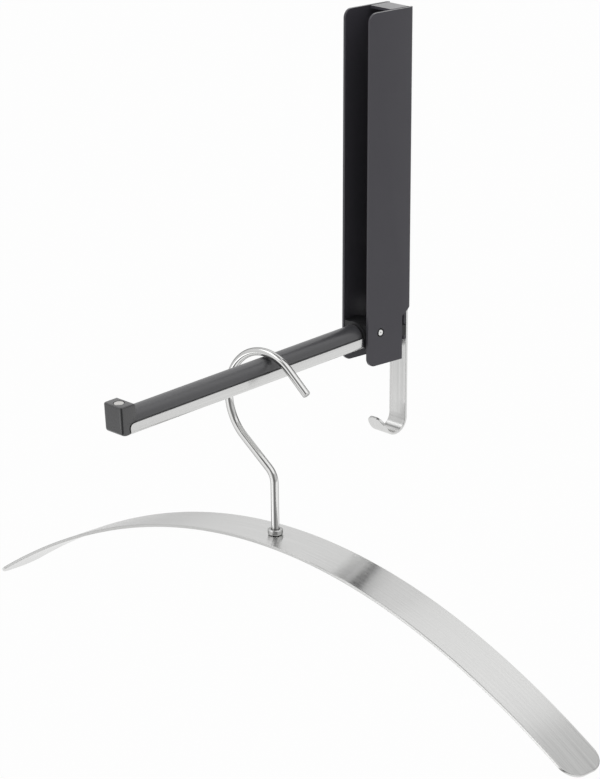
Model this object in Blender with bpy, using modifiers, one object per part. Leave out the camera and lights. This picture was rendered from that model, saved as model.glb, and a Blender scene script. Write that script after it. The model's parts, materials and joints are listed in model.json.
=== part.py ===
"""Fold-down wall hook with a J hook below and a coat hanger on its arm.

Frame: X to the right along the wall, Y into the wall, Z up, in metres. The wall is the plane Y = 0 and the
channel's middle height is Z = 0. The arm is modelled along local -Y of an empty on its pivot, and the hanger
in the local XZ plane of an empty at the centre of its crook.
"""

from math import asin, cos, hypot, pi, radians, sin

import bmesh
import bpy
from mathutils import Matrix, Vector

MM = 0.001

# Clearances
FIT_GAP = 0.3 * MM
SIDE_PLAY = 0.4 * MM
NEST_PLAY = 1.0 * MM

# Wall channel: folded sheet
CHANNEL_WIDTH = 21.0 * MM
CHANNEL_DEPTH = 33.2 * MM
CHANNEL_HEIGHT = 200.0 * MM
CHANNEL_SHEET = 1.5 * MM
CHANNEL_INNER_BEND = 0.4 * MM
FLANGE_CORNER = 5.0 * MM
TAB_SLIT = 0.6 * MM
TAB_ROOT = 4.0 * MM
EAR_SETBACK = 6.7 * MM
TONGUE_BELOW_PIVOT = 9.4 * MM
SHOULDER_ABOVE_PIVOT = 6.3 * MM
SHOULDER_RUN = 5.5 * MM

# Strip behind the channel, with its J hook
STRIP_WIDTH = 13.0 * MM
STRIP_SHEET = 1.5 * MM
STRIP_BELOW_TOP = 5.0 * MM
STRIP_DROP = 46.0 * MM
STRIP_BEND_RADIUS = 9.0 * MM
STRIP_LEG = 7.2 * MM
STRIP_LEG_ANGLE = radians(60.0)
STRIP_TIP_CORNER = 5.5 * MM
STRIP_TOP_CORNER = 2.5 * MM

# Wall screw holes and rivets, from the channel's nearer end
SCREW_HOLE = 5.2 * MM
UPPER_SCREW = 28.0 * MM
LOWER_SCREW = 64.0 * MM
UPPER_RIVET = 52.0 * MM
LOWER_RIVET = 44.0 * MM
RIVET_SHANK = 3.2 * MM
RIVET_HEAD_RIM = 1.4 * MM
RIVET_HEAD_HEIGHT = 0.9 * MM
RIVET_TAIL_RIM = 0.7 * MM
RIVET_TAIL_SEAT = 0.5 * MM

# Pivot
PIVOT_FROM_BACK = 23.45 * MM
PIVOT_FROM_FOOT = 18.7 * MM
PIN_DIAMETER = 4.0 * MM
PIN_CHAMFER = 0.5 * MM
PIN_DIMPLE = 0.45 * MM
ARM_DROOP = radians(4.15)
FOLDED_LEAN = radians(0.44)

# Folding arm, with heights from the pivot
ARM_SHEET = 1.0 * MM
ARM_INNER_BEND = 0.6 * MM
ARM_BELOW_PIVOT = 7.05 * MM
PROFILE_SIDE = 6.0 * MM
PROFILE_CORNER = 2.6 * MM
COVER_SEAT = 0.4 * MM
COVER_WALL = 2.0 * MM

# Hinge block
COLLAR_PROUD = 0.65 * MM
COLLAR_THICKNESS = 2.2 * MM
KNUCKLE_RADIUS = 6.0 * MM
HEEL_LAND = 1.8 * MM
HEEL_TOP_BELOW_PIVOT = 1.4 * MM
TENON_LENGTH = 16.0 * MM

# End cap and magnet
CAP_LENGTH = 9.7 * MM
CAP_LEG = 5.0 * MM
CAP_INSET = 0.9 * MM
CAP_RISE = 4.1 * MM
CAP_FOOT_ROUND = 2.2 * MM
CAP_EDGE = 0.9 * MM
MAGNET_DIAMETER = 5.6 * MM
MAGNET_HEIGHT = 3.0 * MM
MAGNET_EDGE = 0.3 * MM

# Hanger hook: stem, bend, slope, crook and straight tip
HANG_AT = 77.5 * MM
HANGER_YAW = radians(3.0)
HANGER_ROLL = radians(1.06)
WIRE_DIAMETER = 4.5 * MM
STEM_LENGTH = 29.4 * MM
STEM_BEND_RADIUS = 10.5 * MM
STEM_BEND = radians(53.1)
SLOPE_LENGTH = 23.9 * MM
CROOK_RADIUS = 28.7 * MM
CROOK_SWEEP = radians(183.0)
TIP_LENGTH = 17.6 * MM
COLLAR_RING_WALL = 1.65 * MM
COLLAR_RING_HEIGHT = 3.0 * MM
COLLAR_RING_CHAMFER = 0.5 * MM
WASHER_WALL = 1.6 * MM
WASHER_THICKNESS = 0.8 * MM
WASHER_CHAMFER = 0.15 * MM
PEEN_RIM = 1.0 * MM
PEEN_HEIGHT = 1.4 * MM

# Hanger blade: a strip on a parabola
BLADE_HALF_SPAN = 226.0 * MM
BLADE_SAG = 75.0 * MM
BLADE_WIDTH = 29.0 * MM
BLADE_SHEET = 1.8 * MM
BLADE_CORNER = 11.0 * MM

# Facets
ARC_STEP = radians(12.0)
ROUND_STEPS = 24
BLADE_SPANS = 36
STRIP_SPANS = 8
CORNER_STEPS = 5
STRIP_ACROSS = 4

# Places that follow from the sizes above
HALF_WIDTH = CHANNEL_WIDTH / 2
HALF_HEIGHT = CHANNEL_HEIGHT / 2
BACK = -(STRIP_SHEET + FIT_GAP)
FRONT = BACK - CHANNEL_DEPTH
WEB_FACE = BACK - CHANNEL_SHEET
PIVOT = Vector((0.0, BACK - PIVOT_FROM_BACK, -HALF_HEIGHT + PIVOT_FROM_FOOT))
INNER_HALF = HALF_WIDTH - CHANNEL_SHEET
SCREW_HEIGHTS = (HALF_HEIGHT - UPPER_SCREW, -HALF_HEIGHT + LOWER_SCREW)
RIVET_HEIGHTS = (HALF_HEIGHT - UPPER_RIVET, -HALF_HEIGHT + LOWER_RIVET)
RIVET_TAIL_DEPTH = STRIP_SHEET - FIT_GAP - RIVET_TAIL_SEAT
PIN_HOLE_RADIUS = PIN_DIAMETER / 2 + FIT_GAP
RIVET_HOLE_RADIUS = RIVET_SHANK / 2 + FIT_GAP
BLOCK_HALF = INNER_HALF - SIDE_PLAY
ARM_HALF = INNER_HALF - NEST_PLAY
ARM_BOTTOM = -ARM_BELOW_PIVOT
PROFILE_EDGE = ARM_BOTTOM + PROFILE_SIDE
COVER_RADIUS = ARM_HALF - ARM_SHEET - FIT_GAP
COVER_AXIS = PROFILE_EDGE - COVER_SEAT
COVER_TOP = COVER_AXIS + COVER_RADIUS
COVER_FOOT = ARM_BOTTOM + ARM_SHEET + FIT_GAP
BORE_RADIUS = COVER_RADIUS - COVER_WALL
TENON_HALF = BORE_RADIUS - FIT_GAP
COLLAR_FRONT = CHANNEL_DEPTH - PIVOT_FROM_BACK + COLLAR_PROUD
COLLAR_BACK = COLLAR_FRONT - COLLAR_THICKNESS
COVER_START = COLLAR_FRONT + FIT_GAP
PROFILE_START = COVER_START + FIT_GAP
CAP_MIDDLE = CHANNEL_HEIGHT - PIVOT_FROM_FOOT - CHANNEL_SHEET / 2
CAP_START = CAP_MIDDLE - CAP_LENGTH / 2
CAP_END = CAP_MIDDLE + CAP_LENGTH / 2
CAP_TOP = COVER_TOP + CAP_RISE
PROFILE_END = CAP_END - CAP_LEG - FIT_GAP
TAB_FRONT = PIVOT.y + CAP_TOP * cos(FOLDED_LEAN) - CAP_MIDDLE * sin(FOLDED_LEAN) + FIT_GAP
WIRE_RADIUS = WIRE_DIAMETER / 2
WIRE_HOLE_RADIUS = WIRE_RADIUS + FIT_GAP
WASHER_TOP = -BLADE_SHEET - FIT_GAP
PEEN_TOP = WASHER_TOP - WASHER_THICKNESS - FIT_GAP


# Scene and collections

def clear_scene():
    for item in list(bpy.data.objects):
        bpy.data.objects.remove(item, do_unlink=True)


def new_collection(name):
    collection = bpy.data.collections.new(name)
    bpy.context.scene.collection.children.link(collection)
    return collection


clear_scene()
PARTS = new_collection("fold_down_wall_hook")
CUTTERS = new_collection("cutters")


def finish(name, red, green, blue, roughness, metallic):
    material = bpy.data.materials.new(name)
    material.use_nodes = True
    shader = material.node_tree.nodes["Principled BSDF"]
    shader.inputs["Base Color"].default_value = (red, green, blue, 1.0)
    shader.inputs["Roughness"].default_value = roughness
    shader.inputs["Metallic"].default_value = metallic
    return material


BLACK_PAINT = finish("satin_black_paint", 0.018, 0.018, 0.020, 0.45, 0.0)
BLACK_PLASTIC = finish("black_plastic", 0.014, 0.014, 0.014, 0.40, 0.0)
BRUSHED_STEEL = finish("brushed_steel", 0.60, 0.60, 0.60, 0.32, 1.0)
BRIGHT_STEEL = finish("bright_steel", 0.70, 0.70, 0.70, 0.18, 1.0)


def frame_empty(name, location, rotation, parent=None):
    empty = bpy.data.objects.new(name, None)
    empty.location = location
    empty.rotation_euler = rotation
    empty.parent = parent
    PARTS.objects.link(empty)
    return empty


# Shape helpers

def rounded(corners):
    """Outline points of a polygon whose corners are (x, y, radius)."""
    points = []
    count = len(corners)
    for index, (x, y, radius) in enumerate(corners):
        here = Vector((x, y))
        if radius <= 0.0:
            points.append(here)
            continue
        before = (Vector(corners[index - 1][:2]) - here).normalized()
        after = (Vector(corners[(index + 1) % count][:2]) - here).normalized()
        half = before.angle(after) / 2
        centre = here + (before + after).normalized() * (radius / sin(half))
        start = here + before * (radius * cos(half) / sin(half)) - centre
        turn = pi - 2 * half
        if before.x * after.y - before.y * after.x > 0.0:
            turn = -turn
        steps = max(2, round(abs(turn) / ARC_STEP))
        for step in range(steps + 1):
            angle = turn * step / steps
            points.append(centre + Matrix.Rotation(angle, 2) @ start)
    return points


def arc(centre_x, centre_y, radius, start, end):
    """Points of a circular arc, both ends included."""
    steps = max(2, round(abs(end - start) / ARC_STEP))
    angles = [start + (end - start) * step / steps for step in range(steps + 1)]
    return [Vector((centre_x + radius * cos(a), centre_y + radius * sin(a))) for a in angles]


PLANES = {
    "XY": Matrix.Identity(4),
    "YZ": Matrix(((0, 0, 1, 0), (1, 0, 0, 0), (0, 1, 0, 0), (0, 0, 0, 1))),
    "XZ": Matrix(((1, 0, 0, 0), (0, 0, -1, 0), (0, 1, 0, 0), (0, 0, 0, 1))),
}


def prism_mesh(name, outline, low, high, plane):
    """Closed prism of a flat outline, from low to high along the plane's normal (X, -Y or Z)."""
    curve = bpy.data.curves.new(name, "CURVE")
    curve.dimensions = "2D"
    curve.fill_mode = "BOTH"
    curve.extrude = (high - low) / 2
    spline = curve.splines.new("POLY")
    spline.points.add(len(outline) - 1)
    for point, (x, y) in zip(spline.points, outline):
        point.co = (x, y, 0.0, 1.0)
    spline.use_cyclic_u = True
    return mesh_of_curve(name, curve, PLANES[plane] @ Matrix.Translation((0.0, 0.0, (low + high) / 2)))


def mesh_of_curve(name, curve, matrix):
    """Mesh of a curve, with its caps welded on."""
    holder = bpy.data.objects.new(name, curve)
    CUTTERS.objects.link(holder)
    graph = bpy.context.evaluated_depsgraph_get()
    mesh = bpy.data.meshes.new_from_object(holder.evaluated_get(graph))
    bpy.data.objects.remove(holder)
    bpy.data.curves.remove(curve)
    shape = bmesh.new()
    shape.from_mesh(mesh)
    bmesh.ops.remove_doubles(shape, verts=shape.verts, dist=0.001 * MM)
    bmesh.ops.transform(shape, matrix=matrix, verts=shape.verts)
    bmesh.ops.recalc_face_normals(shape, faces=shape.faces)
    shape.to_mesh(mesh)
    shape.free()
    return mesh


def cylinder_mesh(name, radius, low, high, axis, centre):
    """Cylinder from low to high along an axis through the centre point."""
    shape = bmesh.new()
    bmesh.ops.create_cone(shape, cap_ends=True, segments=ROUND_STEPS, radius1=radius, radius2=radius,
                          depth=high - low)
    turn = Vector((0.0, 0.0, 1.0)).rotation_difference(Vector(axis)).to_matrix().to_4x4()
    place = Matrix.Translation(centre) @ turn @ Matrix.Translation((0.0, 0.0, (low + high) / 2))
    bmesh.ops.transform(shape, matrix=place, verts=shape.verts)
    mesh = bpy.data.meshes.new(name)
    shape.to_mesh(mesh)
    shape.free()
    return mesh


def box_mesh(name, low, high):
    shape = bmesh.new()
    bmesh.ops.create_cube(shape, size=1.0)
    size = Vector(high) - Vector(low)
    middle = (Vector(high) + Vector(low)) / 2
    bmesh.ops.scale(shape, vec=size, verts=shape.verts)
    bmesh.ops.translate(shape, vec=middle, verts=shape.verts)
    mesh = bpy.data.meshes.new(name)
    shape.to_mesh(mesh)
    shape.free()
    return mesh


def profile_mesh(name, profile):
    """Open profile of (radius, height) points for a Screw modifier, top to bottom."""
    mesh = bpy.data.meshes.new(name)
    edges = [(index, index + 1) for index in range(len(profile) - 1)]
    mesh.from_pydata([(radius, 0.0, height) for radius, height in profile], edges, [])
    return mesh


def part(name, mesh, material, parent=None):
    """A finished piece of the object."""
    item = bpy.data.objects.new(name, mesh)
    mesh.materials.clear()
    mesh.materials.append(material)
    item.parent = parent
    PARTS.objects.link(item)
    return item


def tool(name, mesh, parent=None):
    """A shape that cuts another one or is joined to it."""
    item = bpy.data.objects.new(name, mesh)
    item.parent = parent
    item.hide_render = True
    item.display_type = "WIRE"
    CUTTERS.objects.link(item)
    return item


def boolean(item, other, operation):
    modifier = item.modifiers.new(other.name, "BOOLEAN")
    modifier.operation = operation
    modifier.solver = "EXACT"
    modifier.object = other


def cut(item, mesh):
    boolean(item, tool(item.name + "_cut", mesh, item.parent), "DIFFERENCE")


def join(item, mesh):
    boolean(item, tool(item.name + "_join", mesh, item.parent), "UNION")


def keep_inside(item, mesh):
    boolean(item, tool(item.name + "_trim", mesh, item.parent), "INTERSECT")


def turn_profile(item):
    """Turns an open profile about Z into a closed round piece."""
    modifier = item.modifiers.new("turned", "SCREW")
    modifier.axis = "Z"
    modifier.angle = 2 * pi
    modifier.screw_offset = 0.0
    modifier.steps = ROUND_STEPS
    modifier.render_steps = ROUND_STEPS
    modifier.use_merge_vertices = True
    modifier.merge_threshold = 0.001 * MM
    modifier.use_smooth_shade = True


def smooth(item):
    item.data.shade_smooth()
    item.data.set_sharp_from_angle(angle=radians(40.0))


def strip_mesh(name, stations, place):
    """Open strip surface: place(s, b) gives the point at a length s and a share b of the half width."""
    shape = bmesh.new()
    rows = len(stations) - 1
    bmesh.ops.create_grid(shape, x_segments=rows, y_segments=STRIP_ACROSS, size=0.5)
    for vertex in shape.verts:
        row = round((vertex.co.x + 0.5) * rows)
        vertex.co = place(stations[row], 2 * vertex.co.y)
    mesh = bpy.data.meshes.new(name)
    shape.to_mesh(mesh)
    shape.free()
    return mesh


def thicken(item, thickness, offset):
    modifier = item.modifiers.new("sheet", "SOLIDIFY")
    modifier.thickness = thickness
    modifier.offset = offset
    modifier.use_even_offset = True


def end_stations(radius):
    """Distances from a strip's end that follow a rounded corner."""
    turns = [pi / 2 * step / CORNER_STEPS for step in range(CORNER_STEPS + 1)]
    return [radius * (1 - cos(turn)) for turn in turns]


def corner_share(from_end, radius, half):
    """Share of the half width that is left at a distance from a rounded end."""
    if from_end >= radius:
        return 1.0
    return (half - radius + (radius ** 2 - (radius - from_end) ** 2) ** 0.5) / half


# Wall bracket

def make_wall_channel():
    sheet = CHANNEL_SHEET
    inner_bend = CHANNEL_INNER_BEND
    outer_bend = inner_bend + sheet
    section = rounded([
        (-HALF_WIDTH, FRONT, 0.0), (-HALF_WIDTH, BACK, outer_bend),
        (HALF_WIDTH, BACK, outer_bend), (HALF_WIDTH, FRONT, 0.0),
        (INNER_HALF, FRONT, 0.0), (INNER_HALF, WEB_FACE, inner_bend),
        (-INNER_HALF, WEB_FACE, inner_bend), (-INNER_HALF, FRONT, 0.0),
    ])
    channel = part("wall_channel", prism_mesh("wall_channel", section, -HALF_HEIGHT, HALF_HEIGHT, "XY"),
                   BLACK_PAINT)
    margin = sheet
    side = rounded([
        (BACK + margin, HALF_HEIGHT, 0.0), (FRONT, HALF_HEIGHT, FLANGE_CORNER),
        (FRONT, -HALF_HEIGHT, FLANGE_CORNER), (BACK + margin, -HALF_HEIGHT, 0.0),
    ])
    keep_inside(channel, prism_mesh("side", side, -CHANNEL_WIDTH, CHANNEL_WIDTH, "YZ"))

    # At the foot the web narrows to a tongue and the flanges' ears stand clear of the wall: a notch along each
    # bend widens from a point at its shoulder
    tongue = STRIP_WIDTH / 2
    foot = PIVOT.z - TONGUE_BELOW_PIVOT
    neck = PIVOT.z + SHOULDER_ABOVE_PIVOT
    shoulder = neck + SHOULDER_RUN
    below = -CHANNEL_HEIGHT
    relief = [
        Vector((-CHANNEL_WIDTH, below)), Vector((CHANNEL_WIDTH, below)), Vector((CHANNEL_WIDTH, shoulder)),
        Vector((HALF_WIDTH, shoulder)), Vector((tongue, neck)), Vector((tongue, foot)),
        Vector((-tongue, foot)), Vector((-tongue, neck)),
        Vector((-HALF_WIDTH, shoulder)), Vector((-CHANNEL_WIDTH, shoulder)),
    ]
    ear = BACK - EAR_SETBACK
    notch = tool("wall_channel_notch", prism_mesh("relief", relief, -(BACK + margin), -ear + margin, "XZ"))
    outside = BACK + 2 * margin
    behind = [
        Vector((ear, 2 * below)), Vector((outside, 2 * below)), Vector((outside, shoulder + margin)),
        Vector((BACK, shoulder)), Vector((ear, neck)),
    ]
    keep_inside(notch, prism_mesh("behind", behind, -2 * CHANNEL_WIDTH, 2 * CHANNEL_WIDTH, "YZ"))
    boolean(channel, notch, "DIFFERENCE")

    across = (1.0, 0.0, 0.0)
    into_wall = (0.0, 1.0, 0.0)
    cut(channel, cylinder_mesh("pin_hole", PIN_HOLE_RADIUS, -CHANNEL_WIDTH, CHANNEL_WIDTH, across, PIVOT))
    for height in SCREW_HEIGHTS:
        centre = (0.0, BACK, height)
        cut(channel, cylinder_mesh("screw_hole", SCREW_HOLE / 2, -2 * sheet, sheet, into_wall, centre))
    for height in RIVET_HEIGHTS:
        centre = (0.0, BACK, height)
        cut(channel, cylinder_mesh("rivet_hole", RIVET_HOLE_RADIUS, -2 * sheet, sheet, into_wall, centre))

    # Tab bent forward from the top of the web, between slits
    slot = INNER_HALF - inner_bend
    tab_half = slot - TAB_SLIT
    root = HALF_HEIGHT - TAB_ROOT
    slot_low = (-slot, WEB_FACE - margin, root)
    slot_high = (slot, BACK + margin, HALF_HEIGHT + margin)
    cut(channel, box_mesh("tab_slot", slot_low, slot_high))
    tab = rounded([
        (BACK, root - sheet, 0.0), (BACK, HALF_HEIGHT, outer_bend), (TAB_FRONT, HALF_HEIGHT, 0.0),
        (TAB_FRONT, HALF_HEIGHT - sheet, 0.0), (WEB_FACE, HALF_HEIGHT - sheet, inner_bend),
        (WEB_FACE, root - sheet, 0.0),
    ])
    join(channel, prism_mesh("tab", tab, -tab_half, tab_half, "YZ"))


def make_hook_strip():
    half = STRIP_WIDTH / 2
    top = HALF_HEIGHT - STRIP_BELOW_TOP
    middle = STRIP_SHEET / 2
    radius = STRIP_BEND_RADIUS - middle
    bend_height = -HALF_HEIGHT - STRIP_DROP + STRIP_BEND_RADIUS
    straight = top - bend_height
    sweep = pi / 2 + STRIP_LEG_ANGLE
    bend = radius * sweep
    length = straight + bend + STRIP_LEG

    def place(s, b):
        share = min(corner_share(s, STRIP_TOP_CORNER, half), corner_share(length - s, STRIP_TIP_CORNER, half))
        x = b * half * share
        if s <= straight:
            return Vector((x, -middle, top - s))
        angle = min(s - straight, bend) / radius
        y = -middle - radius + radius * cos(angle)
        z = bend_height - radius * sin(angle)
        rest = max(0.0, s - straight - bend)
        return Vector((x, y - rest * sin(angle), z - rest * cos(angle)))

    plain = [straight * step / STRIP_SPANS for step in range(1, STRIP_SPANS)]
    turns = round(sweep / ARC_STEP)
    curl = [straight + bend * step / turns for step in range(turns + 1)]
    stations = end_stations(STRIP_TOP_CORNER) + plain + curl
    stations += [length - s for s in reversed(end_stations(STRIP_TIP_CORNER))]
    strip = part("hook_strip", strip_mesh("hook_strip", stations, place), BRUSHED_STEEL)
    thicken(strip, STRIP_SHEET, 0.0)
    into_wall = (0.0, 1.0, 0.0)
    reach = 2 * STRIP_SHEET
    for height in SCREW_HEIGHTS:
        cut(strip, cylinder_mesh("screw_hole", SCREW_HOLE / 2, -reach, reach, into_wall, (0.0, 0.0, height)))
    for height in RIVET_HEIGHTS:
        centre = (0.0, 0.0, height)
        cut(strip, cylinder_mesh("rivet_hole", RIVET_HOLE_RADIUS, -reach, reach, into_wall, centre))
        seat = RIVET_HOLE_RADIUS + RIVET_TAIL_RIM
        cut(strip, cylinder_mesh("rivet_seat", seat, -RIVET_TAIL_DEPTH - FIT_GAP, reach, into_wall, centre))


def make_strip_rivets():
    """Rivets with a domed head inside the channel and a flush tail in the back of the strip."""
    head_seat = -WEB_FACE + FIT_GAP
    shank = RIVET_SHANK / 2
    head = shank + RIVET_HEAD_RIM
    tail = shank + RIVET_TAIL_RIM
    turns = [radians(90.0 - 30.0 * step) for step in range(4)]
    dome = [(head * cos(turn), head_seat + RIVET_HEAD_HEIGHT * sin(turn)) for turn in turns[1:]]
    profile = [(0.0, head_seat + RIVET_HEAD_HEIGHT)] + dome
    profile += [(shank, head_seat), (shank, RIVET_TAIL_DEPTH), (tail, RIVET_TAIL_DEPTH)]
    profile += [(tail, 0.0), (0.0, 0.0)]
    for name, height in zip(("strip_rivet_upper", "strip_rivet_lower"), RIVET_HEIGHTS):
        rivet = part(name, profile_mesh(name, profile), BRIGHT_STEEL)
        rivet.rotation_euler = (pi / 2, 0.0, 0.0)
        rivet.location = (0.0, 0.0, height)
        turn_profile(rivet)


def make_pivot_pin():
    """Turned pin, flush with the flanges, with chamfered and dimpled ends."""
    end = HALF_WIDTH
    radius = PIN_DIAMETER / 2
    rim = radius - PIN_CHAMFER
    profile = [(0.0, end - PIN_DIMPLE), (PIN_DIMPLE, end), (rim, end), (radius, end - PIN_CHAMFER)]
    profile += [(r, -z) for r, z in reversed(profile)]
    pin = part("pivot_pin", profile_mesh("pivot_pin", profile), BRIGHT_STEEL)
    pin.rotation_euler = (0.0, pi / 2, 0.0)
    pin.location = PIVOT
    turn_profile(pin)


# Folding arm, in the frame of its pivot: local -Y runs outward along the arm

def half_round(radius, foot):
    """Outline with straight sides and a half-round top about the cover's axis."""
    return [Vector((-radius, foot)), Vector((radius, foot))] + arc(0.0, COVER_AXIS, radius, 0.0, pi)


def make_hinge_block(axis):
    heel = -(PIVOT.y - WEB_FACE) - FIT_GAP
    heel_top = -HEEL_TOP_BELOW_PIVOT
    heel_foot = HEEL_LAND - TONGUE_BELOW_PIVOT
    lean = sin(ARM_DROOP) / cos(ARM_DROOP)
    shoulder = (COLLAR_FRONT + COLLAR_BACK) / 2
    knuckle = arc(0.0, 0.0, KNUCKLE_RADIUS, pi / 2, asin(heel_top / KNUCKLE_RADIUS))
    side = [Vector((-shoulder, ARM_BOTTOM)), Vector((-shoulder, KNUCKLE_RADIUS))] + knuckle
    heel_end = heel / cos(ARM_DROOP)
    side += [
        Vector((heel_end + lean * heel_top, heel_top)),
        Vector((heel_end + lean * heel_foot, heel_foot)),
        Vector((KNUCKLE_RADIUS, heel_foot)),
    ]
    block = part("hinge_block", prism_mesh("hinge_block", side, -BLOCK_HALF, BLOCK_HALF, "YZ"),
                 BLACK_PLASTIC, axis)
    collar = half_round(BLOCK_HALF, ARM_BOTTOM)
    join(block, prism_mesh("collar", collar, COLLAR_BACK, COLLAR_FRONT, "XZ"))
    join(block, tenon_mesh(shoulder, COLLAR_FRONT + TENON_LENGTH))
    across = (1.0, 0.0, 0.0)
    centre = (0.0, 0.0, 0.0)
    cut(block, cylinder_mesh("pivot_bore", PIN_HOLE_RADIUS, -CHANNEL_WIDTH, CHANNEL_WIDTH, across, centre))


def tenon_mesh(low, high):
    """Tongue of a moulding that fills the bore of the cover."""
    return prism_mesh("tenon", half_round(TENON_HALF, COVER_FOOT), low, high, "XZ")


def make_arm_profile(axis):
    half = ARM_HALF
    inner = half - ARM_SHEET
    inner_bend = ARM_INNER_BEND
    outer_bend = inner_bend + ARM_SHEET
    floor = ARM_BOTTOM + ARM_SHEET
    section = rounded([
        (-half, PROFILE_EDGE, 0.0), (-half, ARM_BOTTOM, outer_bend), (half, ARM_BOTTOM, outer_bend),
        (half, PROFILE_EDGE, 0.0), (inner, PROFILE_EDGE, 0.0), (inner, floor, inner_bend),
        (-inner, floor, inner_bend), (-inner, PROFILE_EDGE, 0.0),
    ])
    profile = part("arm_profile", prism_mesh("arm_profile", section, PROFILE_START, PROFILE_END, "XZ"),
                   BRUSHED_STEEL, axis)
    below = ARM_BOTTOM - ARM_SHEET
    side = rounded([
        (-PROFILE_START + ARM_SHEET, PROFILE_EDGE, 0.0), (-PROFILE_END, PROFILE_EDGE, PROFILE_CORNER),
        (-PROFILE_END, below, 0.0), (-PROFILE_START + ARM_SHEET, below, 0.0),
    ])
    keep_inside(profile, prism_mesh("side", side, -2 * half, 2 * half, "YZ"))


def make_arm_cover(axis):
    outer = half_round(COVER_RADIUS, COVER_FOOT)
    cover = part("arm_cover", prism_mesh("arm_cover", outer, COVER_START, CAP_START - FIT_GAP, "XZ"),
                 BLACK_PLASTIC, axis)
    bore = half_round(BORE_RADIUS, COVER_FOOT - COVER_WALL)
    cut(cover, prism_mesh("bore", bore, 0.0, CAP_END, "XZ"))


def make_end_cap(axis):
    half = ARM_HALF - CAP_INSET
    seat = PROFILE_EDGE + FIT_GAP
    front = -PROFILE_END - FIT_GAP
    side = rounded([
        (-CAP_START, CAP_TOP, 0.0), (-CAP_START, seat, 0.0), (front, seat, PROFILE_CORNER + FIT_GAP),
        (front, ARM_BOTTOM, 0.0), (-CAP_END, ARM_BOTTOM, CAP_FOOT_ROUND), (-CAP_END, CAP_TOP, 0.0),
    ])
    cap = part("end_cap", prism_mesh("end_cap", side, -half, half, "YZ"), BLACK_PLASTIC, axis)
    edges = cap.modifiers.new("edges", "BEVEL")
    edges.width = CAP_EDGE
    edges.segments = 3
    edges.limit_method = "ANGLE"
    edges.angle_limit = radians(50.0)
    join(cap, tenon_mesh(CAP_START - TENON_LENGTH, CAP_START + 2 * CAP_EDGE))
    cut(cap, cylinder_mesh("pocket", MAGNET_DIAMETER / 2 + FIT_GAP, -MAGNET_HEIGHT - FIT_GAP, MAGNET_HEIGHT,
                           (0.0, 0.0, 1.0), magnet_centre()))


def magnet_centre():
    return Vector((0.0, -CAP_MIDDLE, CAP_TOP))


def make_magnet(axis):
    radius = MAGNET_DIAMETER / 2
    profile = [(0.0, 0.0), (radius - MAGNET_EDGE, 0.0), (radius, -MAGNET_EDGE), (radius, -MAGNET_HEIGHT),
               (0.0, -MAGNET_HEIGHT)]
    magnet = part("magnet", profile_mesh("magnet", profile), BRIGHT_STEEL, axis)
    magnet.location = magnet_centre()
    turn_profile(magnet)


# Hanger: hook path in its own plane, from the foot of the stem

def hook_path():
    """Centreline of the wire as (x, z) points from the blade's top, and the crook's centre."""
    bend = arc(-STEM_BEND_RADIUS, STEM_LENGTH, STEM_BEND_RADIUS, 0.0, STEM_BEND)
    heading = pi / 2 + STEM_BEND
    slope_end = bend[-1] + SLOPE_LENGTH * Vector((cos(heading), sin(heading)))
    centre = slope_end + CROOK_RADIUS * Vector((sin(heading), -cos(heading)))
    start = heading + pi / 2
    crook = arc(centre.x, centre.y, CROOK_RADIUS, start, start - CROOK_SWEEP)
    heading -= CROOK_SWEEP
    tip = crook[-1] + TIP_LENGTH * Vector((cos(heading), sin(heading)))
    return bend, crook, tip, centre


def hanger_frames():
    """Empty at the crook's centre, where the wire lies on the arm's cover, and one at the stem's foot."""
    centre = hook_path()[3]
    along = Vector((0.0, -HANG_AT * cos(ARM_DROOP), -HANG_AT * sin(ARM_DROOP)))
    rest = (COVER_TOP + FIT_GAP + WIRE_RADIUS) / cos(ARM_DROOP) - CROOK_RADIUS
    crook = PIVOT + along + Vector((0.0, 0.0, rest))
    hang = frame_empty("hanger_hang", crook, (0.0, -HANGER_ROLL, HANGER_YAW))
    return frame_empty("hook_stem", (-centre.x, 0.0, -centre.y), (0.0, 0.0, 0.0), hang)


def make_hook_wire(stem):
    bend, crook, tip = hook_path()[:3]
    points = [Vector((0.0, PEEN_TOP - PEEN_HEIGHT / 2))] + bend + crook + [tip]
    curve = bpy.data.curves.new("hook_wire", "CURVE")
    curve.dimensions = "3D"
    curve.bevel_depth = WIRE_RADIUS
    curve.bevel_resolution = 2
    curve.use_fill_caps = True
    spline = curve.splines.new("POLY")
    spline.points.add(len(points) - 1)
    for point, (x, z) in zip(spline.points, points):
        point.co = (x, 0.0, z, 1.0)
    wire = part("hook_wire", mesh_of_curve("hook_wire", curve, Matrix.Identity(4)), BRIGHT_STEEL, stem)
    rim = WIRE_RADIUS + PEEN_RIM
    foot = PEEN_TOP - PEEN_HEIGHT
    peen = tool("hook_wire_peen", profile_mesh("peen", [
        (0.0, PEEN_TOP), (rim, PEEN_TOP), (rim, PEEN_TOP - PEEN_HEIGHT / 2), (WIRE_RADIUS, foot), (0.0, foot),
    ]), stem)
    turn_profile(peen)
    boolean(wire, peen, "UNION")
    smooth(wire)


def ring(name, wall, low, high, chamfer, stem):
    """Turned ring on the wire."""
    inner = WIRE_HOLE_RADIUS
    outer = inner + wall
    profile = [(inner, high), (outer - chamfer, high), (outer, high - chamfer), (outer, low + chamfer),
               (outer - chamfer, low), (inner, low), (inner, high)]
    item = part(name, profile_mesh(name, profile), BRIGHT_STEEL, stem)
    turn_profile(item)


def make_hook_rings(stem):
    ring("hook_collar", COLLAR_RING_WALL, FIT_GAP, FIT_GAP + COLLAR_RING_HEIGHT, COLLAR_RING_CHAMFER, stem)
    ring("hook_washer", WASHER_WALL, WASHER_TOP - WASHER_THICKNESS, WASHER_TOP, WASHER_CHAMFER, stem)


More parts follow.
